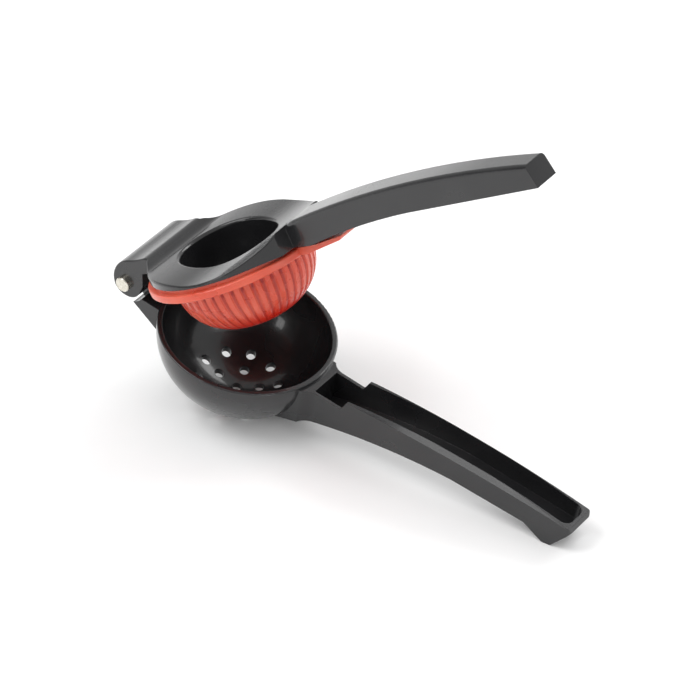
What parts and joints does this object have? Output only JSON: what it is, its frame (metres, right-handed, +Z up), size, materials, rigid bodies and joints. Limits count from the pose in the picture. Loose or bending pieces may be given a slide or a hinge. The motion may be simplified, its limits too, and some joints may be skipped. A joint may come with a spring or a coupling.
{
  "type": "hinged lemon squeezer",
  "caption": "Hinged hand squeezer for lemons, with a black cast bowl and lever arms and a red fluted press cup.",
  "frame": {"origin": "centre of the resting flat under the bowl, on the worktop", "axes": "+X to the handle ends, +Y along the hinge pin to the far side, +Z up from the worktop; the arms stand open as in the picture"},
  "size_m": [0.2213, 0.0796, 0.1758],
  "materials": {
    "enamel": "gloss black enamel",
    "nylon": "satin red nylon",
    "steel": "satin"
  },
  "bodies": {
    "lower": {"lower_arm": "enamel"},
    "upper": {"upper_arm": "enamel", "press_cup": "nylon", "hinge_pin": "steel", "pin_cap": "steel"}
  },
  "joints": [
    {"name": "arm_hinge", "type": "hinge", "parent": "lower", "child": "upper", "pos_m": [-0.05084, 0, 0.04902], "axis": [0, -1, 0], "range_deg": [-38.8, 89]}
  ]
}
